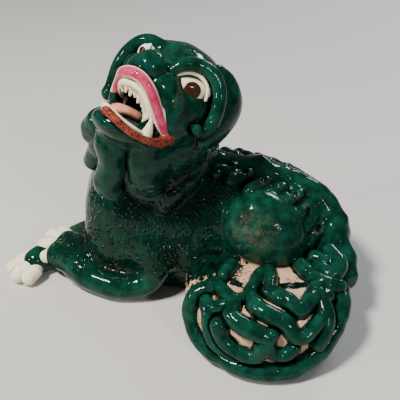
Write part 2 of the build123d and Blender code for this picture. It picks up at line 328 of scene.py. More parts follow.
def nets(grid):
    """Vertices, in grid steps, and quads of the surface where the grid changes sign."""
    inside = grid < 0
    total = np.zeros(np.array(grid.shape) - 1, np.uint8)
    for x, y, z in CORNERS:
        total += inside[x:x + total.shape[0], y:y + total.shape[1], z:z + total.shape[2]]
    cells = np.argwhere((total > 0) & (total < 8))
    number = np.full(total.shape, -1, np.int32)
    number[tuple(cells.T)] = np.arange(len(cells), dtype=np.int32)
    values = [grid[tuple((cells + corner).T)] for corner in CORNERS]
    spot, hits = np.zeros((len(cells), 3)), np.zeros(len(cells))
    for a, b in EDGES:
        crossing = (values[a] < 0) != (values[b] < 0)
        share = (values[a] / np.where(crossing, values[a] - values[b], 1))[:, None]
        where = CORNERS[a] + share * (CORNERS[b] - CORNERS[a])
        spot += np.where(crossing[:, None], where, 0)
        hits += crossing
    verts = cells + spot / hits[:, None]
    quads = []
    for axis in range(3):
        side_a, side_b = (axis + 1) % 3, (axis + 2) % 3
        step = np.eye(3, dtype=int)
        ahead = [slice(None)] * 3
        behind = [slice(None)] * 3
        ahead[axis], behind[axis] = slice(1, None), slice(None, -1)
        flips = np.argwhere(inside[tuple(ahead)] != inside[tuple(behind)])
        edge_ok = (flips[:, side_a] > 0) & (flips[:, side_b] > 0)
        edge_ok &= (flips < np.array(total.shape)).all(axis=1)
        flips = flips[edge_ok]
        around = [flips, flips - step[side_a], flips - step[side_a] - step[side_b],
                  flips - step[side_b]]
        quad = np.stack([number[tuple(cell.T)] for cell in around], axis=1)
        outward = inside[tuple(flips.T)]
        quad[~outward] = quad[~outward][:, ::-1]
        quads.append(quad)
    quads = np.vstack(quads)
    return verts, quads[(quads >= 0).all(axis=1)]


TETRA = single([[1, -1, -1], [-1, -1, 1], [-1, 1, -1], [1, 1, 1]])


def slope(dist, points, step=0.12):
    """Unit outward normals, and the length that dist() gives them."""
    total = sum(corner * measure(dist, points + step * corner)[:, None] for corner in TETRA)
    total = total / (4 * step)
    size = norm(total)
    return total / np.maximum(size, 1e-6)[:, None], size


def settle(dist, verts, voxel):
    """Moves the vertices onto the surface itself."""
    for _ in range(2):
        normals, size = slope(dist, verts)
        move = measure(dist, verts) / np.maximum(size, 0.5)
        verts = verts - normals * np.clip(move, -voxel / 2, voxel / 2)[:, None]
    return verts, normals


def keep_large(verts, quads):
    """Drops the loose scraps. Returns which vertices stay, and the quads renumbered."""
    label = np.arange(len(verts))
    while True:
        low = label[quads].min(axis=1)
        fresh = label.copy()
        for corner in range(4):
            np.minimum.at(fresh, quads[:, corner], low)
        fresh = fresh[fresh]
        if (fresh == label).all():
            break
        label = fresh
    sizes = np.bincount(label, minlength=len(verts))
    good = sizes[label] >= SCRAP
    renumber = np.cumsum(good) - 1
    return good, renumber[quads[good[quads[:, 0]]]]


def make_mesh(name, verts, quads):
    mesh = bpy.data.meshes.new(name)
    mesh.vertices.add(len(verts))
    mesh.vertices.foreach_set("co", single((verts - FOOTPRINT_MIDDLE) * MM).ravel())
    mesh.loops.add(quads.size)
    mesh.loops.foreach_set("vertex_index", quads.astype(np.int32).ravel())
    mesh.polygons.add(len(quads))
    mesh.polygons.foreach_set("loop_start", np.arange(0, quads.size, 4, dtype=np.int32))
    mesh.update(calc_edges=True)
    mesh.validate()
    mesh.shade_smooth()
    return mesh


def piece(name, lump, material, stands_for=(), voxel=FINE, around=(), marks=None):
    """Fires one clay piece: its mesh, its marks for the glaze, and its place in the frame.
    pool is how deep a point lies in a crease and how close the pieces around it come, which the glazes
    darken as painted crease shade; edge how sharp a crest it is on."""
    grid, low = sample(lump, voxel)
    verts, quads = nets(grid)
    verts = single(low + verts * voxel)
    verts, normals = settle(lump.dist, verts, voxel)
    good, quads = keep_large(verts, quads)
    verts, normals = verts[good], normals[good]
    mesh = make_mesh(name, verts, quads)
    reach = measure(join([lump, *around]).dist, verts + PROBE * normals)
    depth = -measure(lump.dist, verts - PROBE * normals)
    values = {"pool": np.clip(1 - reach / PROBE, 0, 1), "edge": np.clip(1 - depth / PROBE, 0, 1)}
    for key, formula in (marks or {}).items():
        values[key] = formula(verts)
    for key, value in values.items():
        mesh.attributes.new(key, "FLOAT", "POINT").data.foreach_set("value", single(value))
    thing = bpy.data.objects.new(name, mesh)
    bpy.context.scene.collection.objects.link(thing)
    mesh.materials.append(material)
    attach(thing, "root")
    if stands_for:
        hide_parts(*stands_for)


def by_height(none, full):
    """A mark that goes from 0 at one height to 1 at the other."""
    return lambda verts: np.clip((verts[:, 2] - none) / (full - none), 0, 1)


def patch(middle, radii, strength):
    """A mark that is strongest at its middle and fades out over an oval."""
    return lambda verts: np.clip(
        strength - norm((verts - single(middle)) / single(radii)), 0, 1)


# ---- Glazes --------------------------------------------------------------


COAT_IOR = 1.25                # low, so that the pale floor doesn't veil the dark glaze


class Recipe:
    """A material put together node by node. Texture sizes are in millimetres."""

    def __init__(self, name, slot):
        self.material = bpy.data.materials.new(name)
        self.material["slot"] = slot
        self.material.use_nodes = True
        self.nodes, self.links = self.material.node_tree.nodes, self.material.node_tree.links
        self.shader = self.nodes["Principled BSDF"]
        self.place = self.nodes.new("ShaderNodeTexCoord").outputs["Object"]
        self.bump = None

    def put(self, kind, settings=(), **inputs):
        node = self.nodes.new(kind)
        for key, value in dict(settings).items():
            setattr(node, key, value)
        for key, value in inputs.items():
            self.feed(node.inputs[key.replace("_", " ")], value)
        return node

    def feed(self, socket, value):
        if isinstance(value, bpy.types.NodeSocket):
            self.links.new(value, socket)
        else:
            socket.default_value = value

    def mark(self, name):
        """A number stored on the clay's surface, such as "pool"."""
        return self.put("ShaderNodeAttribute", {"attribute_name": name}).outputs["Fac"]

    def cloud(self, size, detail=3.0, rough=0.55, warp=0.0):
        node = self.put("ShaderNodeTexNoise", Vector=self.place, Scale=1 / (size * MM),
                        Detail=detail, Roughness=rough, Distortion=warp)
        return node.outputs["Fac"]

    def grains(self, size):
        """Distance from the nearest of many scattered grains, in cells."""
        node = self.put("ShaderNodeTexVoronoi", Vector=self.place, Scale=1 / (size * MM))
        return node.outputs["Distance"]

    def ramp(self, value, start, end, low=0.0, high=1.0):
        node = self.put("ShaderNodeMapRange", {"clamp": True}, Value=value)
        for key, number in (("From Min", start), ("From Max", end),
                            ("To Min", low), ("To Max", high)):
            node.inputs[key].default_value = number
        return node.outputs["Result"]

    def math(self, kind, a, b):
        node = self.put("ShaderNodeMath", {"operation": kind, "use_clamp": kind != "SUBTRACT"})
        self.feed(node.inputs[0], a)
        self.feed(node.inputs[1], b)
        return node.outputs["Value"]

    def times(self, a, b):
        return self.math("MULTIPLY", a, b)

    def mix(self, share, a, b):
        node = self.put("ShaderNodeMix", {"data_type": "RGBA"})
        self.feed(node.inputs[0], share)
        for socket, value in ((node.inputs[6], a), (node.inputs[7], b)):
            self.feed(socket, (*value, 1.0) if isinstance(value, tuple) else value)
        return node.outputs[2]

    def dent(self, height, depth):
        """Relief of the surface: height from 0 to 1, depth in mm."""
        node = self.put("ShaderNodeBump", Height=height, Strength=1.0, Distance=depth * MM)
        if self.bump is not None:
            self.links.new(self.bump, node.inputs["Normal"])
        self.bump = node.outputs["Normal"]

    def finish(self, color, rough, coat=1.0, coat_rough=0.04, specular=0.0):
        shader = self.shader.inputs
        self.feed(shader["Base Color"], (*color, 1.0) if isinstance(color, tuple) else color)
        self.feed(shader["Roughness"], rough)
        self.feed(shader["Coat Weight"], coat)
        self.feed(shader["Coat Roughness"], coat_rough)
        self.feed(shader["Coat IOR"], COAT_IOR)
        self.feed(shader["Specular IOR Level"], specular)
        if self.bump is not None:
            self.links.new(self.bump, shader["Normal"])
            self.links.new(self.bump, shader["Coat Normal"])
        return self.material


DEEP, LEAF, BRIGHT = (0.0006, 0.0045, 0.0028), (0.0014, 0.020, 0.0120), (0.0040, 0.056, 0.034)
# The second colour on the next line is near black, painted shade for the unlit hollow of the mouth.
TAN, MOUTH_SHADE_BLACK = (0.20, 0.13, 0.085), (0.0004, 0.0008, 0.0006)
BISQUE, SAND, UMBER = (0.62, 0.41, 0.28), (0.40, 0.24, 0.15), (0.050, 0.030, 0.018)
BONE, IVORY = (0.88, 0.81, 0.60), (0.76, 0.66, 0.44)


def green_glaze(name, grit=0.0, worn=0.0, coat_rough=0.04):
    """Thick lead-green glaze: dark in creases, partly where it pools and partly as painted crease
    shade, and paler and browner where it runs thin.
    grit is the relief of the sand in it, worn how far a rubbed patch shows the clay."""
    it = Recipe(name, "green_glaze")
    depth = it.cloud(5, 4)
    color = it.mix(it.ramp(depth, 0.38, 0.68), LEAF, BRIGHT)
    # Darker in creases and next to other pieces: partly the glaze pooled thick, partly painted crease
    # shade.
    color = it.mix(it.ramp(it.mark("pool"), 0.05, 0.7), color, DEEP)
    # Painted shade: the unlit hollow of the mouth is coloured near black.
    color = it.mix(it.mark("mouth"), color, MOUTH_SHADE_BLACK)
    thin = it.times(it.ramp(it.mark("edge"), 0.45, 0.85), it.ramp(it.cloud(2.5), 0.45, 0.62))
    color = it.mix(it.times(thin, 0.12), color, SAND)
    speck = it.ramp(it.grains(1.1), 0.07, 0.12, 1, 0)
    sparse = it.ramp(it.cloud(7, 2), 0.5, 0.62)
    color = it.mix(it.times(it.times(speck, sparse), 0.5), color, SAND)
    if worn:
        rubbed = it.times(it.mark("worn"), it.ramp(it.cloud(2.6, 5, 0.75), 0.44, 0.66))
        color = it.mix(it.times(rubbed, worn), color, TAN)
    it.dent(it.cloud(6, 2), 0.35)
    if grit:
        color = it.mix(it.times(it.mark("grit"), 0.5), color, DEEP)
        sand = it.ramp(it.grains(2.1), 0.0, 0.42, 1, 0)
        where = it.ramp(it.cloud(7, 3), 0.36, 0.5)
        raised = it.times(it.times(sand, where), it.mark("grit"))
        it.dent(raised, 1.3 * grit)
        tip = it.times(it.ramp(raised, 0.66, 0.8), it.ramp(it.cloud(3), 0.45, 0.6, 0, 0.7))
        color = it.mix(tip, color, TAN)
    else:
        it.dent(it.cloud(1.3, 3), 0.05)
        it.dent(it.ramp(it.grains(2.6), 0.04, 0.16), 0.10)
    return it.finish(color, it.ramp(it.cloud(3), 0.3, 0.7, 0.16, 0.34), coat_rough=coat_rough)


def painted(name, slot, main, second, size=2.5, edge_color=None, speckle=0.0,
            crease=(0.035, 0.03, 0.018)):
    """An opaque coloured glaze, brushed on unevenly."""
    it = Recipe(name, slot)
    color = it.mix(it.ramp(it.cloud(size, 4), 0.38, 0.64), main, second)
    if edge_color:
        color = it.mix(it.ramp(it.mark("rim"), 0.35, 0.8), color, edge_color)
    if speckle:
        dots = it.ramp(it.grains(0.75), 0.28, 0.42, 1, 0)
        some = it.ramp(it.cloud(5, 2), 0.36, 0.48)
        color = it.mix(it.times(it.times(dots, some), speckle), color, DEEP)
        it.dent(dots, 0.08)
    # Painted crease shade: creases and spots next to other pieces are darkened towards the crease
    # colour.
    color = it.mix(it.ramp(it.mark("pool"), 0.25, 0.9, 0, 0.8), color, crease)
    it.dent(it.cloud(2.2, 3), 0.12)
    return it.finish(color, it.ramp(it.cloud(2), 0.3, 0.7, 0.22, 0.4), 0.9)


def bare_clay(name):
    """Pinkish biscuit clay between the strings, with pits and splashes of green glaze."""
    it = Recipe(name, "bare_clay")
    color = it.mix(it.ramp(it.cloud(4, 4), 0.35, 0.65), SAND, BISQUE)
    color = it.mix(it.ramp(it.cloud(9, 3), 0.5, 0.72, 0, 0.55), color, (0.70, 0.53, 0.38))
    pits = it.ramp(it.grains(1.7), 0.13, 0.24, 1, 0)
    some = it.ramp(it.cloud(5, 2), 0.42, 0.52)
    pits = it.times(pits, some)
    color = it.mix(pits, color, UMBER)
    # Painted crease shade: the clay is darkened to umber in creases and beside the strings, haunch and
    # body.
    color = it.mix(it.ramp(it.mark("pool"), 0.5, 1.0, 0, 0.9), color, UMBER)
    splash = it.math("ADD", it.mark("wet"), it.ramp(it.cloud(2.2, 4, 0.65), 0.40, 0.62, -0.25, 0.3))
    green = it.mix(it.ramp(it.cloud(4), 0.4, 0.65), DEEP, LEAF)
    cover = it.ramp(splash, 0.42, 0.58)
    color = it.mix(cover, color, green)
    it.dent(it.math("SUBTRACT", 1.0, pits), 0.3)
    it.dent(it.times(it.cloud(0.9, 4, 0.7), it.ramp(cover, 0, 1, 1, 0.25)), 0.16)
    return it.finish(color, it.ramp(cover, 0, 1, 0.62, 0.18), it.ramp(cover, 0, 1, 0.12, 1.0),
                     0.08)


SMOOTH_GREEN = green_glaze("smooth green glaze")
FACE_GREEN = green_glaze("face green glaze", worn=0.42)
WORN_GREEN = green_glaze("rubbed green glaze", worn=0.42, coat_rough=0.1)
GRITTY_GREEN = green_glaze("gritty green glaze", grit=1.0, worn=0.8)
# Its crease colour is a dark green, for the painted crease shade between the teeth and the toes.
CREAM = painted("cream glaze", "cream_glaze", BONE, IVORY, crease=(0.015, 0.05, 0.025))
PINK = painted("pink glaze", "pink_glaze", (0.40, 0.016, 0.060), (0.52, 0.07, 0.13), 3,
               edge_color=(0.85, 0.62, 0.60))
RED = painted("iron red glaze", "red_glaze", (0.13, 0.020, 0.012), (0.28, 0.060, 0.034), 3,
              speckle=1.0)
SALMON = painted("salmon glaze", "salmon_glaze", (0.76, 0.36, 0.27), (0.68, 0.24, 0.18), 3)
BROWN = painted("brown glaze", "brown_glaze", (0.028, 0.009, 0.006), (0.055, 0.018, 0.011))
BISCUIT = bare_clay("biscuit clay")

# ---- Torso: a pressed hollow shell, open underneath ----------------------

WALL = 4.0                     # mm, thickness of the pressed shell
BACK_MIDDLE, BACK_RADII = (8, 0, 20), (62, 27, 40)
CHEST_MIDDLE, CHEST_RADII = (-23, -1, 30), (32, 26, 38)


def shell(by=0.0):
    """The torso's outline, by mm inside it."""
    return join([egg(BACK_MIDDLE, np.array(BACK_RADII) - by),
                 egg(CHEST_MIDDLE, np.array(CHEST_RADII) - by)], 10)


torso = join([shell(),
              egg((-33, -16, 34), (16, 12, 20)),
              egg((-34, -19, 21), (15, 11, 14)),
              egg((-20, -19, 28), (15, 11, 19))], 9)
torso = above(kneaded(torso, (11, 0.5), (4, 0.12)))
haunch = join([egg((30, -19, 38), (16.5, 14, 17.5)),
               egg((38, -22, 33), (13, 12, 14))], 8)
haunch = kneaded(haunch, (9, 0.3), seed=5)
RUFF = [(-13, -24, 45.5, 1.6), (-9, -26.5, 50.5, 2.2), (-4.5, -27.4, 55.5, 2.4),
        (-1, -26, 59.6, 2.5), (2, -23.5, 62.6, 2.5), (5.4, -16, 67, 2.3), (7.6, -7, 69, 2)]
neck = kneaded(join([egg((-16, -6, 63), (21.5, 23, 24.5)), egg((-8, -18, 76), (14.5, 14, 15)),
                     roll(RUFF)], 6), (8, 0.4), (3.5, 0.15), seed=7)

# ---- Head: x is forward along the muzzle, y to the animal's left, z out of the crown ----

HEAD_MIDDLE = np.array([-9.5, -11.3, 92.0])
HEAD_YAW, HEAD_PITCH, HEAD_ROLL = (math.radians(angle) for angle in (62, 36, 7))


def head_axes():
    heading = np.array([-math.cos(HEAD_YAW), -math.sin(HEAD_YAW), 0])
    left = np.cross((0, 0, 1), heading)
    forward = heading * math.cos(HEAD_PITCH) + np.array([0, 0, math.sin(HEAD_PITCH)])
    crown = np.cross(forward, left)
    crown = crown * math.cos(HEAD_ROLL) + left * math.sin(HEAD_ROLL)
    return np.stack([forward, np.cross(crown, forward), crown])


HEAD = head_axes()


def at(forward, left, up):
    return tuple(HEAD_MIDDLE + np.array([forward, left, up], float) @ HEAD)


def head_egg(centre, radii, axes=None):
    return egg(at(*centre), radii, HEAD if axes is None else np.array(axes, float) @ HEAD)


def head_roll(points, flat=None):
    rows = [(*at(*point[:3]), point[3]) for point in points]
    if flat is not None:
        flat = (np.array(flat[0], float) @ HEAD, flat[1])
    return roll(rows, flat)


cavity = join([head_egg((20, 0, -8), (16, 10.5, 8)),
               head_egg((8, 0, -7), (12, 10, 9))], 5)
upper_head = join([
    head_egg((-2, 0, 0), (22.5, 22.5, 22.5)),
    head_egg((15, 0, 1), (13, 13, 8.5)),
    head_egg((9, 12, -8), (11, 7, 10)),
    head_egg((9, -12, -8), (11, 7, 10)),
    head_roll([(4, -3, 16.2, 5), (7, -8, 15.2, 4.2), (10, -12, 14, 3.5)]),
    head_roll([(19.5, 10, 3.5, 2.5), (18.2, 12, 0, 2.6), (16.4, 14, -4, 2.6),
               (13.5, 15, -8.5, 2.8), (10, 15.5, -12, 3)]),
], 5)
jaw = join([
    head_egg((21, 0, -19), (12, 12, 6)),
    head_egg((7, 0, -18), (13, 15, 8)),
], 6)
skull = carve(kneaded(join([upper_head, jaw], 3), (8, 0.3), seed=9), cavity, blend=1.5)
head_mass = join([skull, neck], 4)

# The lips, from the far corner of the mouth over the middle to the near corner.
UPPER_LIP = [(9, -15.5, -12, 1.8), (13, -14.8, -10.5, 2.2), (18, -12.8, -7, 2.3),
             (22.5, -9.5, -2.4, 2.3), (27, -5.5, 0, 2.3), (29.8, 0, 1.2, 2.4),
             (29.6, 4.2, 1.4, 2.4), (28.2, 7.2, 0.2, 2.4), (26, 9.6, -1.8, 2.4),
             (22.6, 11.8, -5.5, 2.3), (18.7, 13.7, -9.4, 2.2), (14.6, 15.2, -12.8, 1.9)]
LOWER_LIP = [(12, -14, -15, 1.5), (18, -11, -15.5, 1.6), (26, -6, -15.4, 1.6),
             (32.5, 0, -15.2, 1.7), (33.6, 4, -15.8, 1.6), (31.4, 9, -17.4, 1.5),
             (28, 12, -18.4, 1.4), (24, 14, -18.6, 1.4), (19.8, 15.6, -18.2, 1.5),
             (15.5, 16.4, -17, 2.1), (12.8, 16.4, -14.8, 2.5)]
UPPER_GUM = [(14, -13, -11, 1.2), (18, -10.5, -7, 1.5), (23, -7, -3.7, 1.8),
             (26.6, -1.5, -1.9, 2.1), (26.8, 2.6, -1.6, 2.4), (25.6, 5.8, -2.2, 2.5),
             (23.8, 8, -4.2, 2.5), (21.4, 9.6, -7.4, 2.4), (18.5, 11.2, -10.6, 1.8)]
LOWER_GUM = [(14, -13.5, -13.5, 1.2), (18.6, -13, -13.6, 1.4), (26, -8, -14, 1.4),
             (32, -1, -14.3, 1.5), (31.1, 4, -15.6, 1.5), (29.3, 6.7, -16.4, 1.4),
             (26.6, 8.9, -16.8, 1.2), (23, 11, -17.2, 1.0), (18, 12.6, -17.2, 0.9)]
TOOTH_ROWS = [((26.2, -1.5, -2.4), (25.2, -1.8, -6), 1.4), ((26, 0.8, -2.4), (24.8, 0.4, -6.4), 1.5),
              ((25.6, 3, -2.6), (24, 2.2, -6), 1.5), ((24.8, 5, -3), (22.9, 3.8, -7.4), 1.6),
              ((23.8, 6.8, -4.4), (21.9, 5.4, -8), 1.5), ((22.6, 8, -6), (20.9, 6.4, -9.4), 1.6),
              ((21.4, 9, -7.8), (20.3, 7.2, -11.2), 1.6)]
FAR_TEETH = [((22.6, -6.6, -4.2), (22, -6, -6.4), 1.3), ((24.8, -3.8, -3), (24, -3.4, -5.2), 1.3)]
UPPER_FANG = [(21, 10, -6.5, 2.2), (20.9, 9.4, -9.5, 1.6), (21.4, 8.4, -13.2, 0.35)]
LOWER_FANG = [(20, 11.9, -17, 2.4), (20.2, 11.8, -14.2, 1.6), (21, 11.4, -10.6, 0.35)]
FAR_FANGS = {"upper_fangs": [(14, -11, -9, 1.5), (13.5, -10, -12, 0.5)],
             "lower_fangs": [(13, -12, -14.5, 1.6), (13.5, -11.6, -11.5, 0.5)]}

upper_lip = head_roll(UPPER_LIP)
lower_lip = head_roll(LOWER_LIP)
upper_gum = head_roll(UPPER_GUM)
upper_teeth = join([upper_gum] + [
    head_roll([(*root, width), (*tip, width * 0.45)])
    for root, tip, width in TOOTH_ROWS + FAR_TEETH], 0.8)
lower_gum = head_roll(LOWER_GUM)

nose = join([head_egg((24.2, 2.8, 6), (6.8, 6.6, 6.8)),
             head_egg((24.6, -2.8, 4.6), (4.2, 3.8, 3.6))], 3)
wings = {"near": join([head_egg((21, 8.4, 1.6), (5, 4.4, 5.2)),
                       head_egg((19.6, 10.6, -2.2), (3.8, 3.2, 4))], 4),
         "far": head_egg((20.8, -7.4, 5), (5, 3.4, 4))}


def along(direction, upward):
    """Three directions in the head: outward, sideways and roughly upward."""
    out = np.array(direction, float) / np.linalg.norm(direction)
    side = np.cross(upward, out)
    side /= np.linalg.norm(side)
    return np.stack([out, side, np.cross(out, side)])


EYES = {
    "near": {"middle": (9.1, 12.2, 5.6), "out": (0.644, 0.717, 0.27), "size": (6.7, 9.4, 5.4),
             "iris": (13.2, 16.8, 5.6, 3.4),
             "lid": [(17.6, 10.6, 8, 0.5), (15.6, 12, 10.3, 0.8), (13, 14, 11.7, 0.9),
                     (10.4, 16.4, 11.5, 0.9), (8.6, 18.4, 9.9, 0.9), (7.9, 19.8, 7.6, 0.9),
                     (8, 20.6, 4.8, 0.6)]},
    "far": {"middle": (11.5, -12, 11.8), "out": (0.66, -0.55, 0.51), "size": (5.4, 5.6, 4.6),
            "iris": (15, -11.4, 11.4, 2.2),
            "lid": [(16.6, -8.6, 12.6, 0.6), (15, -10, 14.8, 0.9), (13.4, -12.8, 16, 0.9),
                    (12.2, -15.4, 15.2, 0.8)]},
}
RIMS = {
    "near": [(19.3, 8.8, 8.8, 1.8), (18, 10.2, 11.6, 2.4), (15.8, 11.8, 13.8, 2.8),
             (13, 13.6, 15, 2.9), (10, 16.6, 15.4, 2.9), (7.4, 19.6, 14, 2.9),
             (5.4, 22.2, 11, 2.8), (4.6, 24, 7.6, 2.7), (3.8, 25.2, 1.8, 2.7),
             (3.4, 25, -3.6, 2.7), (4.6, 24, -7, 2.4), (7.6, 23, -6.6, 2.2)],
    "far": [(7, -2, 15, 2.4), (9.6, -5, 15.8, 2.7), (12, -8.8, 16.2, 2.9),
            (14, -12.2, 15.8, 3), (15.2, -15, 13.8, 3), (15.6, -17.2, 11, 2.9), (15.2, -19.6, 6.7, 2.9),
            (14.4, -21, 1.9, 2.9), (12.6, -22, -3.2, 2.8), (11.2, -22.4, -7.4, 2.9),
            (12, -21.4, -10, 3.3)],
}
FLAPS = {
    "near": [(2, 16, 15, 5), (-4, 18, 12, 7), (-8, 20.5, 5.5, 8.5), (-5, 22.4, -3, 6.8),
             (-1.5, 23, -9, 4.2)],
    "far": [(8, -15, 13, 4), (6, -18.5, 8, 5.5), (4, -20.5, 1, 6.5), (3, -21, -6, 5)],
}
ears = {side: (head_roll(RIMS[side]), head_roll(FLAPS[side], flat=((0, 1, 0), 0.62)))
        for side in RIMS}

# ---- Pieces of the head --------------------------------------------------


def painted_mouth_shade(verts):
    """1 in the unlit hollow behind the teeth, which the green glaze paints near black as shade."""
    return np.clip(-measure(grown(cavity, 0.4).dist, verts) / 0.8 + 0.5, 0, 1)


BESIDE_NOSE = head_roll([(20, 9.5, 8, 0.1), (18, 13.5, 3, 0.1), (15, 16, -4, 0.1)])


def beside_nose(verts):
    """1 in the crease between the nose and the near eye, where the glaze ran thin."""
    return np.clip(1.3 - measure(BESIDE_NOSE.dist, verts) / 3, 0, 1)


around_head = [upper_lip, lower_lip, nose, *wings.values(), *ears["near"], *ears["far"]]
piece("head", skull, FACE_GREEN, ("head_shell", "lower_jaw"), around=around_head,
      marks={"mouth": painted_mouth_shade, "worn": beside_nose})
piece("mane_neck", luted(neck, torso, 4), GRITTY_GREEN, ("mane_neck",), BROAD,
      around=[skull], marks={"grit": by_height(78, 64)})


def off_crest(points, out=2.2):
    """0 along the crest of a lip, 1 at its edges."""
    crest = head_roll([(f + 0.8 * out, left + 0.6 * out, up, 0.05)
                       for f, left, up, _ in points])
    return {"rim": lambda verts: np.clip((measure(crest.dist, verts) - 0.9) / 1.6, 0, 1)}


piece("upper_lip", luted(upper_lip, skull, 1.2, 1.5), PINK, ("upper_lip",), around=[skull],
      marks=off_crest(UPPER_LIP))
piece("lower_lip", luted(lower_lip, skull, 1.2, 1.5), RED, ("lower_lip",), around=[skull])
piece("upper_teeth", upper_teeth, CREAM, ("upper_teeth",), around=[skull, upper_lip])
piece("lower_teeth", lower_gum, CREAM, ("lower_teeth",), around=[skull, lower_lip])
for name, points in (("upper_fangs", UPPER_FANG), ("lower_fangs", LOWER_FANG)):
    piece(name, join([head_roll(points), head_roll(FAR_FANGS[name])]), CREAM, (name,))
tongue = head_roll([(10, 0, -13.5, 4.5), (19, 0.5, -12.8, 4.6), (25, 0.5, -12.6, 4.0),
                    (27.5, 0.2, -13.6, 3.2)], flat=((0, 0, 1), 0.5))
piece("tongue", tongue, SALMON, ("tongue",), around=[skull])
piece("nose", luted(nose, skull, 1.5), SMOOTH_GREEN, ("nose",), around=[upper_lip, *wings.values()])
for side, wing in wings.items():
    piece(f"nostril_wing_{side}", luted(wing, skull, 3), SMOOTH_GREEN,
          (f"nostril_wing_{side}",), around=[upper_lip, nose])
for side, look in EYES.items():
    axes = along(look["out"], (0.1, -0.2, 1))
    eye = head_egg(look["middle"], look["size"], axes)
    *gaze, width = look["iris"]
    iris = within(grown(eye, 0.25), ball(at(*gaze), width), 0.3)
    lid = head_roll(look["lid"])
    piece(f"eye_{side}", luted(eye, skull, 0.5, 1), CREAM, (f"eye_{side}",), around=[lid])
    piece(f"iris_{side}", iris, BROWN, (f"iris_{side}",))
    piece(f"eyelid_{side}", luted(lid, skull, 0.4, 0.6), CREAM, (f"eyelid_{side}",),
          around=[skull, eye])
    rim, flap = ears[side]
    piece(f"ear_rim_{side}", luted(rim, join([skull, flap], 1), 1.5), SMOOTH_GREEN,
          (f"ear_rim_{side}",), around=[skull, flap])
    piece(f"ear_{side}", luted(flap, head_mass, 3), SMOOTH_GREEN, (f"ear_{side}",),
          around=[skull, rim])

# ---- Beard ---------------------------------------------------------------

BEARD = {
    "chin": [(-27.5, -31, 89, 7.5), (-29.5, -33.5, 81, 7.2), (-29.5, -33.5, 73, 6.6),
             (-31.8, -32.8, 66, 6.2), (-33, -32, 61, 6), (-31.6, -31.8, 58.4, 5.4)],
    "throat": [(-14.5, -28, 85, 9), (-17.2, -28.8, 77, 9.6), (-16.6, -29, 70, 9.2),
               (-18.8, -28.6, 64.5, 7.6), (-17, -28.2, 62.6, 6.6)],
    "far_upper": [(-35.5, -26, 86, 6.2), (-39.8, -24, 81.8, 5.6), (-41, -22.5, 77.6, 4)],
    "far_lower": [(-34.5, -25.5, 78, 6.6), (-38.8, -22.5, 71, 5.6), (-42.8, -20.5, 65, 4.5)],
}
CURL = [(-24.4, -33, 84, 1.6), (-25.2, -33.4, 77, 1.8), (-24.6, -33.4, 70, 1.8),
        (-24.4, -32.6, 64, 1.8), (-21.4, -32.4, 58.4, 1.8), (-16, -31.8, 55.8, 1.6),
        (-11.4, -30.4, 57, 1.4)]
locks = {name: kneaded(roll(points), (7, 0.5), (3, 0.15), seed=61)
         for name, points in BEARD.items()}
locks["throat"] = join([locks["throat"], roll(CURL)], 1.5)
beard_base = join([skull, neck, torso], 2)
for name, lock in locks.items():
    others = [other for key, other in locks.items() if key != name]
    piece(f"beard_lock_{name}", luted(lock, beard_base, 3, 3), SMOOTH_GREEN,
          (f"beard_lock_{name}",), around=[beard_base, *others])

# ---- Forelegs ------------------------------------------------------------

far_foreleg = roll([(-26, 18, 30, 12), (-33, 20, 12, 9), (-46, 12, 8.5, 7.5), (-60, 0, 8, 7),
                    (-70, -14, 7.5, 7.2), (-77, -23, 6.2, 6.6)])
web = egg((-54, -6, 5), (9, 9, 7))
near_foreleg = join([
    roll([(-18, -24, 24, 10), (-15.5, -29, 17, 6.5), (-18, -31, 9.5, 5.8), (-25, -33, 6.6, 5.6),
          (-35, -34, 6.4, 5.7), (-45, -31.5, 7.3, 6.2), (-53, -27, 9.3, 7.2)]),
    roll([(-50, -28, 9, 7), (-58, -23.5, 11, 7.5), (-65, -21, 10.6, 7.2)]),
    roll([(-53, -23, 9.5, 7), (-58, -17.5, 12, 7.2), (-63, -14, 12.2, 6.6)]),
], 3)
TOES = {
    "far": [((-82, -19, 6.4), (-85.5, -21.5, 4.6), 3.4), ((-82, -24, 6.6), (-87, -27.4, 4.6), 3.8),
            ((-79.5, -28, 6), (-82.6, -32, 4.4), 3.8), ((-75, -29.5, 5.5), (-77, -33, 4.2), 3.6)],
    "near": [((-69, -22.5, 11.5), (-73.4, -23, 9), 3.4), ((-69.5, -17.5, 14), (-74.6, -17, 12), 3.7),
             ((-67.5, -13, 14.8), (-72.2, -11.4, 13.8), 3.8),
             ((-63.5, -12, 14.6), (-67.6, -8.4, 14), 3.7)],
}
toes = {side: join([roll([(*root, size * 0.9), (*tip, size)]) for root, tip, size in rows], 0.4)
        for side, rows in TOES.items()}
legs = {"far": above(kneaded(join([far_foreleg, web], 4), (7, 0.3), seed=21)),
        "near": above(kneaded(near_foreleg, (7, 0.3), seed=22))}
piece("foreleg_far", luted(legs["far"], torso, 5), WORN_GREEN, ("foreleg_far",), BROAD,
      around=[torso, legs["near"]], marks={"worn": patch((-56, -6, 10), 9, 1.6)})
piece("foreleg_near", luted(legs["near"], torso, 6, 4), GRITTY_GREEN, ("foreleg_near",), BROAD,
      around=[torso, legs["far"]], marks={"grit": by_height(13, 19)})
for side in ("near", "far"):
    piece(f"toes_{side}", luted(above(toes[side]), legs[side], 1, 1), CREAM,
          (f"toes_{side}",), around=[legs["near"], legs["far"]])
piece("body", carve(torso, shell(WALL)), GRITTY_GREEN, ("body_shell",), BROAD,
      around=[neck, haunch, *legs.values()],
      marks={"grit": lambda verts: np.ones(len(verts))})
piece("haunch_near", luted(haunch, torso, 2.5), WORN_GREEN, ("haunch_near",), BROAD,
      around=[torso], marks={"worn": patch((28, -33, 44), (11, 9, 10), 1.2)})
far_haunch = egg((31, 19, 25), (19, 14, 20))
far_paw = above(roll([(26, 25, 8, 8), (12, 28, 6.5, 7), (2, 29, 6, 6.2)]))
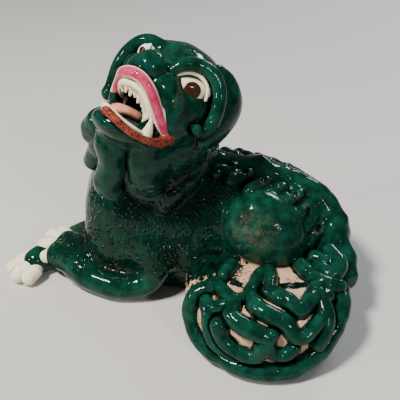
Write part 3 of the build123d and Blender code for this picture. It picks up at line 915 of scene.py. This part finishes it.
piece("haunch_far", luted(above(far_haunch), torso, 2.5), SMOOTH_GREEN, ("haunch_far",), BROAD,
      around=[torso])
piece("hind_paw_far", luted(far_paw, join([torso, far_haunch]), 2), SMOOTH_GREEN,
      ("hind_paw_far",), BROAD, around=[torso, far_haunch])
hind_toes = join([ball(centre, 3.5) for centre in
                  ((-3.2, 24.5, 4), (-5.2, 28.7, 4.2), (-4.2, 33, 4))], 0.5)
piece("hind_toes_far", luted(above(hind_toes), far_paw, 1, 1), CREAM, ("hind_toes_far",),
      around=[far_paw])

# ---- Tail ----------------------------------------------------------------

TAIL_MIDDLE, TAIL_HALF, TAIL_HEIGHT, TAIL_EDGE = (34.2, -40.5), (33.3, 29), 27.5, 12


def mound_dist(points):
    local = single((points[:, :2] - single(TAIL_MIDDLE)) / single(TAIL_HALF))
    far = norm(local)
    plan = far * (far - 1) / np.maximum(norm(local / single(TAIL_HALF)), 1e-6) + TAIL_EDGE
    rise = points[:, 2] - (TAIL_HEIGHT - TAIL_EDGE)
    both = np.maximum(np.stack([plan, rise], axis=1), 0)
    return np.minimum(np.maximum(plan, rise), 0) + norm(both) - TAIL_EDGE


mound = Clay(mound_dist, (TAIL_MIDDLE[0] - TAIL_HALF[0], TAIL_MIDDLE[1] - TAIL_HALF[1], 0),
             (TAIL_MIDDLE[0] + TAIL_HALF[0], TAIL_MIDDLE[1] + TAIL_HALF[1], TAIL_HEIGHT))
mound = above(mound)


FAT = 1.09                     # how much fatter the pressed strings are than first rolled


def draped(points, lift):
    """Rows of x, y, z, radius pressed onto the mound; lift is a share of the radius."""
    rows = np.array(points, float)
    spots = single(rows[:, :3])
    for _ in range(12):
        normals, _ = slope(mound_dist, spots, 0.3)
        spots = spots - normals * mound_dist(spots)[:, None] * 0.8
    rows[:, 3] *= FAT
    rows[:, :3] = spots + normals * (rows[:, 3:] * lift)
    return rows


STRINGS = {
    "tail_rim_roll": [(73, -30, 25, 3.4), (71, -40, 24, 3.6), (69, -50, 21, 3.6),
                      (64, -59, 14, 3.6), (57, -65, 8, 3.8), (48, -69, 4.6, 3.9),
                      (38, -71, 4.2, 3.8), (28, -70.5, 4.6, 3.5), (20, -68.5, 5.5, 3.0)],
    "tail_front_roll": [(14, -52, 28, 2.6), (9.5, -53, 28, 3.2), (6, -55, 25, 3.3),
                        (4.6, -58, 18, 3.1), (7, -62, 11, 3.1), (12, -66, 7.5, 3.2),
                        (20, -69, 5.5, 3.0)],
    "tail_string_front": [(11.5, -57.5, 27.5, 2.4), (13, -62, 25, 2.4), (13.5, -65.5, 20, 2.4),
                          (15.5, -67.5, 14, 2.4), (20, -69.5, 10, 2.4), (26, -71, 8, 2.2)],
    "tail_string_double_bend": [(11, -51.5, 28, 2.6), (15, -49.5, 28, 2.9), (19.5, -54, 28, 2.8),
                                (23.8, -59.5, 28, 2.9), (23.4, -63.4, 26.5, 3.0),
                                (26, -65.8, 24.8, 3.3), (30.5, -67.2, 23.4, 3.5),
                                (35, -68.2, 22.4, 3.3), (38.5, -68.8, 21, 2.9)],
    "tail_string_centre": [(35.5, -36.5, 28, 2.5), (32.5, -40, 28, 2.6), (31.2, -46, 28, 2.7),
                           (29.8, -52, 28, 2.8), (31.4, -57, 28, 3.1), (35, -61, 27.5, 3.5),
                           (40, -63, 27, 3.5), (45.5, -64.6, 25.5, 3.2), (49, -67, 22, 2.9),
                           (52.5, -67, 20.5, 2.6), (56.5, -63.6, 23, 2.6), (60, -59, 25.5, 2.6)],
    "tail_string_upper": [(37, -51, 28, 3.1), (41.5, -53.2, 28, 3.3), (45.5, -55.4, 28, 3.4),
                          (50, -57.8, 27.6, 3.2), (53.5, -52, 28, 3.0), (56.5, -44, 28, 3.0),
                          (61, -38, 27.5, 2.8)],
    "tail_string_curl": [(19, -66.5, 21.5, 3.4), (20.6, -69, 17, 3.0), (25, -71, 13.5, 3.0),
                         (31, -71.6, 11.8, 3.0), (35.5, -71.8, 13, 2.8), (38.4, -71.4, 17, 2.8),
                         (41.5, -71.3, 14, 2.7), (46, -70.6, 13, 2.7), (50, -69.3, 15.5, 2.6)],
    "tail_string_right": [(57, -48, 28, 2.9), (60.5, -54, 26.5, 3.1), (62, -59, 21, 3.2),
                          (59, -63, 14.5, 3.2)],
}
BRANCHES = {
    "tail_string_double_bend": [[(23.5, -58, 28, 2.4), (27, -56, 28, 2.2), (30, -55, 28, 2.2)]],
    "tail_string_centre": [[(36, -37, 28, 2.4), (37.6, -43, 28, 2.5), (37.5, -49, 28, 2.6)]],
    "tail_string_front": [[(12.6, -60, 26, 2.4), (17, -61, 27, 2.5), (21, -60, 27.5, 2.5)]],
    "tail_string_curl": [[(35.5, -71.8, 13, 2.8), (37, -70, 17, 2.9), (40, -67.6, 22, 2.7)]],
    "tail_string_upper": [[(53.5, -52, 28, 2.8), (58, -50, 27.6, 2.6), (61, -47, 27.2, 2.6)]],
}
strings = {}
for name, points in STRINGS.items():
    runs = [points] + BRANCHES.get(name, [])
    strings[name] = kneaded(join([roll(draped(run, 0.3)) for run in runs], 1.5), (5, 0.35),
                            seed=41)
pellets = join([roll(draped(run, 0.4)) for run in (
    [(20.5, -36.5, 28, 2.6), (19, -40, 28, 2.8), (18, -44, 28, 2.6)],
    [(49, -32, 28, 3.2), (52, -36.5, 28, 3.4)])])
all_strings = join([*strings.values(), pellets])
PITS = [((19.5, -47.5, 27), 1.6), ((26.5, -47, 27), 1.1), ((36.6, -36.4, 27), 1.5),
        ((10.5, -60.5, 26), 1.3), ((17, -55.5, 27), 1.3)]
SLOTS = [[(38.6, -59.4, 27), (44.4, -60.8, 27)], [(19, -66.5, 20), (27, -69.5, 16.5)],
         [(40, -69.5, 20), (44.5, -69, 20)], [(57.5, -58, 24), (54, -62.5, 22)],
         [(14.6, -50.6, 27), (17.6, -54, 27)]]
flank = egg((14, -34, 19), (13, 13, 11))
mound = carve(kneaded(join([mound, flank], 5), (6, 0.4), (2, 0.12), seed=31),
              *[ball(place, size) for place, size in PITS],
              *[roll([(*start, 1.3), (*end, 1.3)]) for start, end in SLOTS], blend=0.5)
mound_base = join([mound, torso, haunch], 1)


def wetness(verts):
    """1 where the mound's green glaze lies: by the strings, low on the wall, at the rump."""
    by_strings = 1.0 - (measure(all_strings.dist, verts) - 0.1) / 1.1
    low = (11 - verts[:, 2]) / 5
    rump = np.maximum((verts[:, 0] - 55) / 5, patch((11, -33, 22), (11, 12, 14), 1.8)(verts))
    dashes = measure(join([roll([(22, -46.5, 27.5, 1), (27, -48, 27.5, 1)]),
                           roll([(42, -45.4, 27.5, 1.3), (51, -42.6, 27.5, 1.3)])]).dist, verts)
    return np.clip(np.maximum.reduce([by_strings, low, rump, 1 - dashes / 1.5]), 0, 1)


piece("tail_mound", mound, BISCUIT, ("tail_mound",), around=[all_strings, haunch, torso],
      marks={"wet": wetness})
for name, string in strings.items():
    others = [other for key, other in strings.items() if key != name]
    piece(name, luted(string, mound_base, 1.3, 1.6), SMOOTH_GREEN, (name,),
          around=[mound_base, *others])
piece("tail_pellets", luted(pellets, mound_base, 1.2, 1.5), SMOOTH_GREEN, ("tail_pellets",),
      around=[mound_base])

TAIL_KNOTS = [
    [(61, -23, 31, 3.9), (65, -30, 30, 4.0), (62, -35.5, 29, 3.8), (56.5, -32.5, 29, 3.6)],
    [(55, -26.5, 29, 3.8), (59, -28.5, 29.5, 3.4)],
    [(54, -38, 28, 3.6), (59.5, -41.5, 28, 3.7), (65, -40, 26.5, 3.5)],
]
knots = kneaded(join([roll(knot) for knot in TAIL_KNOTS], 1.0), (5, 0.3), seed=43)
piece("tail_knots", luted(knots, mound_base, 1.5, 2), SMOOTH_GREEN, around=[mound_base])

# ---- Spine ---------------------------------------------------------------


def on_back(x, angle, lift=0.0):
    """A point of the torso: x along it, and degrees round it from the top to the near side."""
    girth = math.sqrt(1 - ((x - BACK_MIDDLE[0]) / BACK_RADII[0]) ** 2)
    turn = math.radians(angle)
    return (x, -(BACK_RADII[1] + lift) * girth * math.sin(turn),
            BACK_MIDDLE[2] + (BACK_RADII[2] + lift) * girth * math.cos(turn))


SPINE = [(*on_back(0, 0, -2), 4), (*on_back(12, 0, -2), 4.8), (*on_back(24, 1, -2), 5.2),
         (*on_back(36, 2, -2), 5.8), (*on_back(46, 4, -2), 6.2), (*on_back(55, 10, -2), 6.6),
         (*on_back(60, 24, -2), 6.8), (64, -12, 31, 6.6), (67, -20, 25, 6.2), (68, -28, 22, 5.6)]
HOLES = [(13.8, 14.4), (20.7, 19.1), (29.2, 22.7), (35.9, 23.4), (43.1, 27.8), (49.4, 39.5),
         (55, 52.7), (58, 76)]
KNOBS = [(9.9, 22.5, 3.1), (17, 28, 3.3), (25, 34.5, 3.4), (32.5, 37, 3.4), (39.5, 38.5, 3.4),
         (45, 45, 3.3), (48.4, 55, 3.3), (51, 68, 3.3), (53.6, 82, 3.3)]
LOBES = [((x + 6, angle * 0.58), (x, angle), size) for x, angle, size in KNOBS]
FAR_LOBES = [((x + 6, -9 - index), (x, -22 - 2 * index), size)
             for index, (x, _, size) in enumerate(KNOBS)]
spine = kneaded(roll(SPINE), (7, 1.2), (4, 0.5), seed=52)
piece("spine_ridge", luted(spine, torso, 2), SMOOTH_GREEN, ("spine_ridge",), BROAD,
      around=[torso])
for side, pairs in (("near", LOBES), ("far", FAR_LOBES)):
    rise = 2.2 if side == "near" else -0.6
    lobes = join([roll([(*on_back(*root, 0), size * 0.8), (*on_back(*tip, rise), size * 1.12)])
                  for root, tip, size in pairs], 2.0)
    lobes = kneaded(lobes, (4, 0.4), seed=51)
    if side == "near":
        lobes = carve(lobes, *[ball(on_back(x, angle, 2.4), 2.2)
                               for x, angle in HOLES], blend=0.3)
    piece(f"spine_lobes_{side}", luted(lobes, join([torso, spine], 1), 1.5, 2), SMOOTH_GREEN,
          (f"spine_lobes_{side}",), around=[torso, spine])

# ---- Floor and light -----------------------------------------------------


def floor_paint():
    it = Recipe("pale floor", "floor")
    it.dent(it.cloud(3, 3), 0.05)
    return it.finish((0.56, 0.54, 0.51), 0.6, coat=0.0, specular=0.3)


def add_floor():
    """A pale sheet that curves up behind the figure."""
    width, depth, bend, height = 3.0, 1.1, 0.35, 2.2
    profile = [(-1.6, 0.0), (depth, 0.0)]
    profile += [(depth + bend * math.sin(angle), bend - bend * math.cos(angle))
                for angle in np.linspace(0, math.pi / 2, 13)[1:]]
    profile += [(depth + bend, height)]
    verts = [(side * width, y, z) for y, z in profile for side in (-1, 1)]
    faces = [(2 * i, 2 * i + 1, 2 * i + 3, 2 * i + 2) for i in range(len(profile) - 1)]
    mesh = bpy.data.meshes.new("floor")
    mesh.from_pydata(verts, [], faces)
    mesh.shade_smooth()
    mesh.materials.append(floor_paint())
    floor = bpy.data.objects.new("floor", mesh)
    bpy.context.scene.collection.objects.link(floor)


def add_light(name, place, power, size, color):
    light = bpy.data.lights.new(name, "AREA")
    light.energy, light.color = power, color
    light.shape = "RECTANGLE"
    light.size, light.size_y = size
    lamp = bpy.data.objects.new(name, light)
    bpy.context.scene.collection.objects.link(lamp)
    lamp.location = place
    aim = Vector((0, 0, 0.05)) - lamp.location
    lamp.rotation_euler = aim.to_track_quat("-Z", "Y").to_euler()


add_floor()
add_light("key", (-0.30, -0.30, 0.75), 12.5, (0.16, 0.12), (1.0, 0.96, 0.90))
add_light("side", (-0.75, -0.45, 0.40), 2.2, (0.07, 0.07), (1.0, 0.97, 0.92))
add_light("fill", (0.60, -0.70, 0.60), 3.0, (0.09, 0.09), (0.88, 0.94, 1.0))
add_light("back", (0.35, 0.75, 0.55), 5.0, (0.30, 0.15), (0.85, 0.92, 1.0))
world = bpy.data.worlds.new("room")
world.use_nodes = True
world.node_tree.nodes["Background"].inputs["Color"].default_value = (0.75, 0.80, 0.82, 1)
world.node_tree.nodes["Background"].inputs["Strength"].default_value = 0.15
bpy.context.scene.world = world
